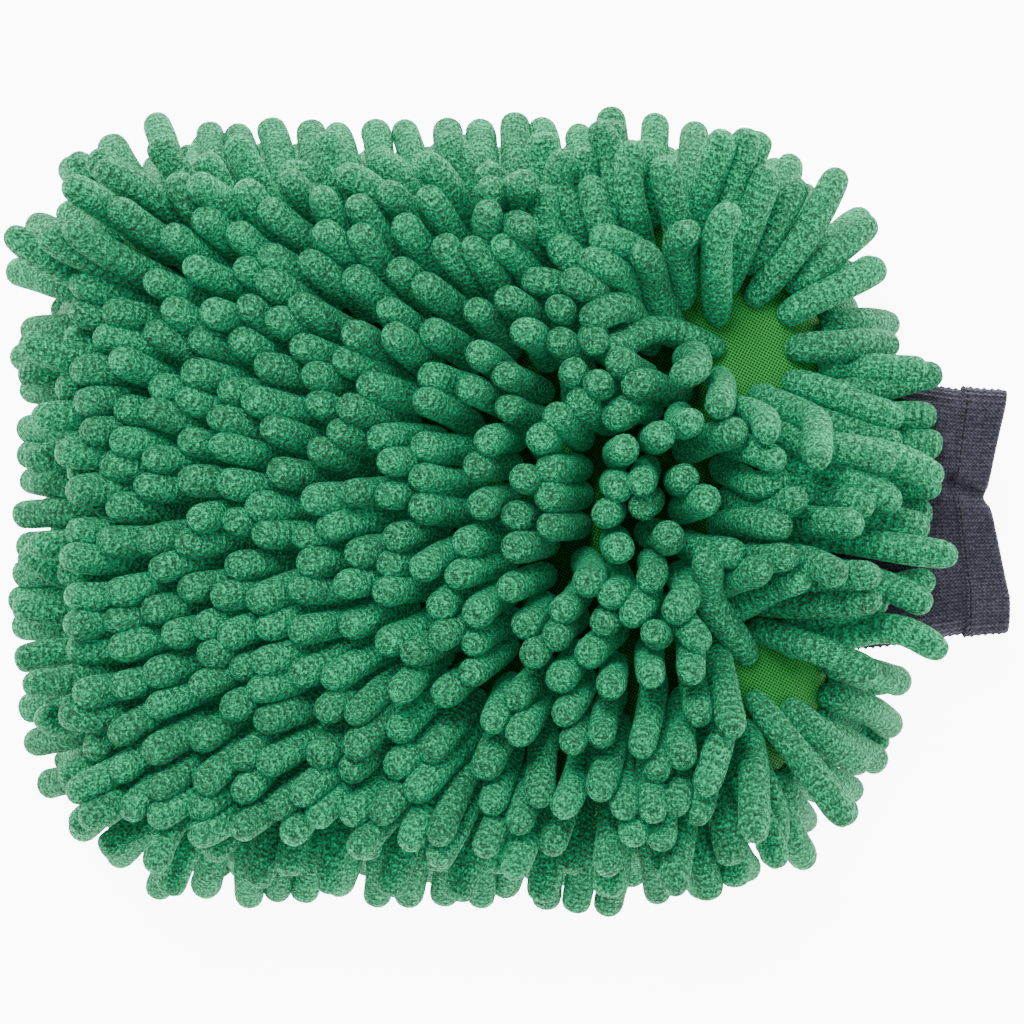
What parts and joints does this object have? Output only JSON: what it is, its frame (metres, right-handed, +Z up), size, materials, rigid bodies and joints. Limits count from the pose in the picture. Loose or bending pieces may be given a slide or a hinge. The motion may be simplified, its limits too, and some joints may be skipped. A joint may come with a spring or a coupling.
{
  "type": "wash mitt",
  "caption": "Slip-on wash mitt with microfibre noodle pile on both faces, a smooth hand pocket and a ribbed elastic wrist cuff.",
  "frame": {"origin": "under the middle of the whole mitt, on the surface that it lies on", "axes": "+X from the finger end to the cuff, +Y across the mitt, +Z up from the face that it lies on"},
  "size_m": [0.264, 0.212, 0.074],
  "materials": {
    "noodle_pile": "fuzzy microfibre chenille, green",
    "mesh_backing": "matte knitted mesh, yellow-green",
    "lining": "smooth matte tricot knit, dark green",
    "rib_knit": "matte black rib knit",
    "elastic": "woven elastic band, black",
    "thread": "polyester sewing thread, black"
  },
  "bodies": {
    "root": {"cuff": "rib_knit", "cuff_elastic": "elastic", "cuff_hem": "rib_knit", "cuff_join_stitching": "thread", "edge_seam": "mesh_backing", "finger_end_noodles": "noodle_pile", "hem_stitching": "thread", "left_shoulder_noodles": "noodle_pile", "left_side_noodles": "noodle_pile", "lower_backing": "mesh_backing", "lower_lining": "lining", "lower_noodle_row_01": "noodle_pile", "lower_noodle_row_02": "noodle_pile", "lower_noodle_row_03": "noodle_pile", "lower_noodle_row_04": "noodle_pile", "lower_noodle_row_05": "noodle_pile", "lower_noodle_row_06": "noodle_pile", "lower_noodle_row_07": "noodle_pile", "lower_noodle_row_08": "noodle_pile", "lower_noodle_row_09": "noodle_pile", "lower_noodle_row_10": "noodle_pile", "lower_noodle_row_11": "noodle_pile", "lower_noodle_row_12": "noodle_pile", "lower_noodle_row_13": "noodle_pile", "lower_noodle_row_14": "noodle_pile", "lower_noodle_row_15": "noodle_pile", "lower_noodle_row_16": "noodle_pile", "lower_noodle_row_17": "noodle_pile", "lower_noodle_row_18": "noodle_pile", "lower_noodle_row_19": "noodle_pile", "lower_noodle_row_20": "noodle_pile", "lower_noodle_row_21": "noodle_pile", "lower_noodle_row_22": "noodle_pile", "right_shoulder_noodles": "noodle_pile", "right_side_noodles": "noodle_pile", "upper_backing": "mesh_backing", "upper_lining": "lining", "upper_noodle_row_01": "noodle_pile", "upper_noodle_row_02": "noodle_pile", "upper_noodle_row_03": "noodle_pile", "upper_noodle_row_04": "noodle_pile", "upper_noodle_row_05": "noodle_pile", "upper_noodle_row_06": "noodle_pile", "upper_noodle_row_07": "noodle_pile", "upper_noodle_row_08": "noodle_pile", "upper_noodle_row_09": "noodle_pile", "upper_noodle_row_10": "noodle_pile", "upper_noodle_row_11": "noodle_pile", "upper_noodle_row_12": "noodle_pile", "upper_noodle_row_13": "noodle_pile", "upper_noodle_row_14": "noodle_pile", "upper_noodle_row_15": "noodle_pile", "upper_noodle_row_16": "noodle_pile", "upper_noodle_row_17": "noodle_pile", "upper_noodle_row_18": "noodle_pile", "upper_noodle_row_19": "noodle_pile", "upper_noodle_row_20": "noodle_pile", "upper_noodle_row_21": "noodle_pile", "upper_noodle_row_22": "noodle_pile"}
  },
  "joints": []
}
